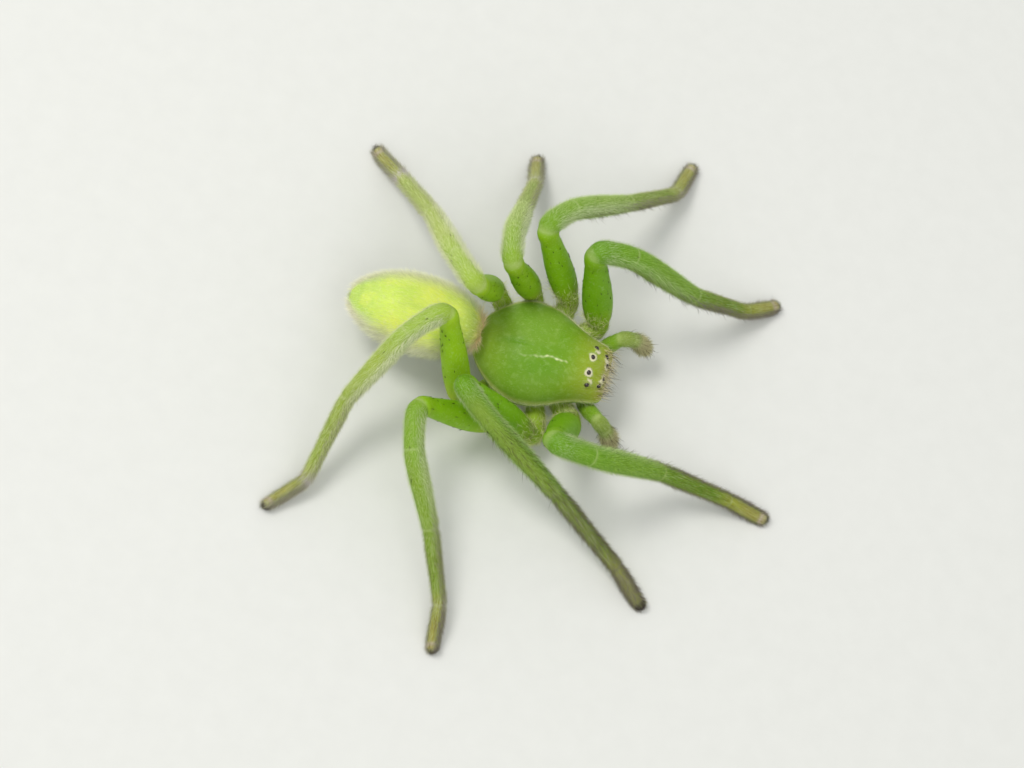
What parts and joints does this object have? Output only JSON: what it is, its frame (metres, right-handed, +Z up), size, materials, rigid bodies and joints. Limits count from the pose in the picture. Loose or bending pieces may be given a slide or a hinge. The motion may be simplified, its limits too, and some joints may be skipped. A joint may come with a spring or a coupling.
{
  "type": "green huntsman spider",
  "caption": "Still life-size model of a green huntsman spider, standing with raised knees, palps held ahead of the face and the abdomen behind.",
  "frame": {"origin": "on the floor under the middle of the whole model's box", "axes": "+X ahead, +Y to the spider's left, +Z up"},
  "size_m": [0.026, 0.0314, 0.0087],
  "materials": {
    "carapace": "smooth green shell with a soft gloss",
    "limb": "grass green to grey-green skin under pale down",
    "foot": "olive to brownish grey, thickly haired",
    "abdomen": "bright yellow-green velvet with a cream fringe",
    "face": "yellowish green, haired",
    "eye": "polished, almost black"
  },
  "bodies": {
    "root": {"carapace": "carapace", "eye_pme_l": "eye", "eye_pme_r": "eye", "eye_ple_l": "eye", "eye_ple_r": "eye", "eye_ame_l": "eye", "eye_ame_r": "eye", "eye_ale_l": "eye", "eye_ale_r": "eye", "sternum": "limb", "mouthparts": "face", "pedicel": "limb", "abdomen": "abdomen", "spinnerets": "abdomen", "chelicera_l": "face", "palp_l_femur": "limb", "palp_l_tarsus": "face", "chelicera_r": "face", "palp_r_femur": "limb", "palp_r_tarsus": "face", "leg_l1_coxa": "limb", "leg_l1_femur": "limb", "leg_l1_tibia": "limb", "leg_l1_metatarsus": "foot", "leg_l1_tarsus": "foot", "leg_l2_coxa": "limb", "leg_l2_femur": "limb", "leg_l2_tibia": "limb", "leg_l2_metatarsus": "foot", "leg_l2_tarsus": "foot", "leg_l3_coxa": "limb", "leg_l3_femur": "limb", "leg_l3_tibia": "limb", "leg_l3_metatarsus": "foot", "leg_l3_tarsus": "foot", "leg_l4_coxa": "limb", "leg_l4_femur": "limb", "leg_l4_tibia": "limb", "leg_l4_metatarsus": "foot", "leg_l4_tarsus": "foot", "leg_r1_coxa": "limb", "leg_r1_femur": "limb", "leg_r1_tibia": "limb", "leg_r1_metatarsus": "foot", "leg_r1_tarsus": "foot", "leg_r2_coxa": "limb", "leg_r2_femur": "limb", "leg_r2_tibia": "limb", "leg_r2_metatarsus": "foot", "leg_r2_tarsus": "foot", "leg_r3_coxa": "limb", "leg_r3_femur": "limb", "leg_r3_tibia": "limb", "leg_r3_metatarsus": "foot", "leg_r3_tarsus": "foot", "leg_r4_coxa": "limb", "leg_r4_femur": "limb", "leg_r4_tibia": "limb", "leg_r4_metatarsus": "foot", "leg_r4_tarsus": "foot"}
  },
  "joints": []
}
